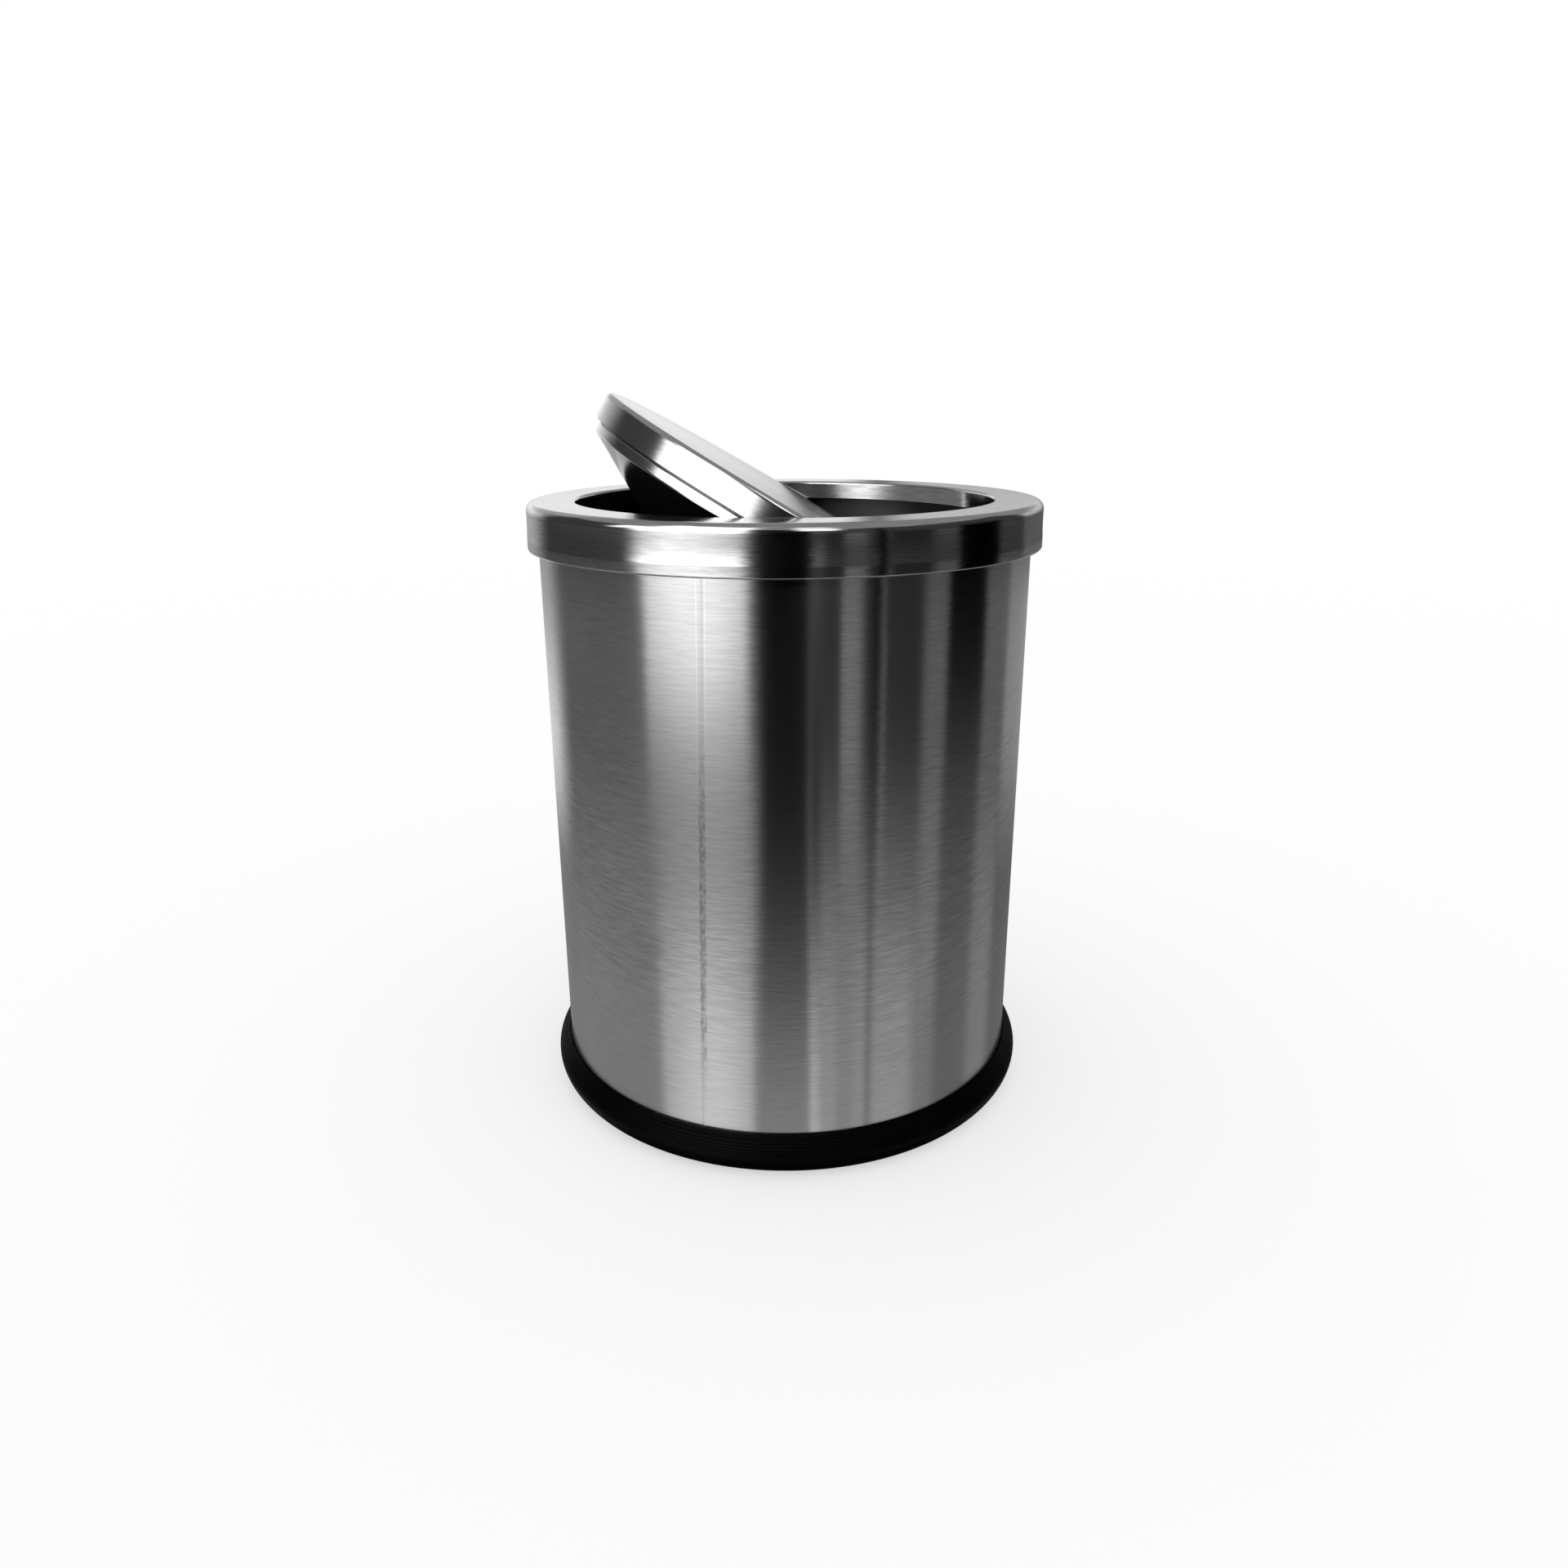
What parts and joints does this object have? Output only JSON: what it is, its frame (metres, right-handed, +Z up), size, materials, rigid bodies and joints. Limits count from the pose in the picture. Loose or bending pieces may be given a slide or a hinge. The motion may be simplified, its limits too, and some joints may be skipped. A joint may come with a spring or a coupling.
{
  "type": "swing lid waste bin",
  "caption": "Round brushed steel waste bin with a lift-off lid ring and a weighted flap that swings on pivots and levels itself.",
  "frame": {"origin": "centre of the base, on the floor", "axes": "+Z up, the flap's pivots lie along Y, and the flap's raised edge is towards -X"},
  "size_m": [0.2574, 0.2574, 0.3564],
  "materials": {
    "brushed_body": "brushed round the tube",
    "inner_steel": "plain rolled sheet",
    "brushed_ring": "brushed round the ring, polished edges",
    "flap_steel": "satin polished",
    "zinc_steel": "zinc plated",
    "weight_iron": "plain cast",
    "base_black": "satin moulded",
    "white_bush": "moulded nylon"
  },
  "bodies": {
    "bin": {"body_tube": "brushed_body", "bottom_plate": "inner_steel", "base_ring": "base_black"},
    "lid": {"lid_ring": "brushed_ring", "pivot_bracket_front": "zinc_steel", "pivot_bracket_rear": "zinc_steel", "pivot_bush_front": "white_bush", "pivot_bush_rear": "white_bush"},
    "flap": {"flap_top_pan": "flap_steel", "flap_cone_pan": "flap_steel", "pivot_screw_front": "zinc_steel", "pivot_screw_rear": "zinc_steel", "screw_washer_front": "zinc_steel", "screw_washer_rear": "zinc_steel", "screw_nut_front": "zinc_steel", "screw_nut_rear": "zinc_steel", "counterweight": "weight_iron", "weight_screw": "zinc_steel", "weight_washer": "zinc_steel", "weight_nut": "zinc_steel"}
  },
  "joints": [
    {"name": "lid_lift", "type": "slide", "parent": "bin", "child": "lid", "axis": [0, 0, 1], "range_m": [0, 0.15]},
    {"name": "flap_swing", "type": "hinge", "parent": "lid", "child": "flap", "pos_m": [0, 0, 0.2986], "axis": [0, 1, 0], "continuous": true}
  ]
}
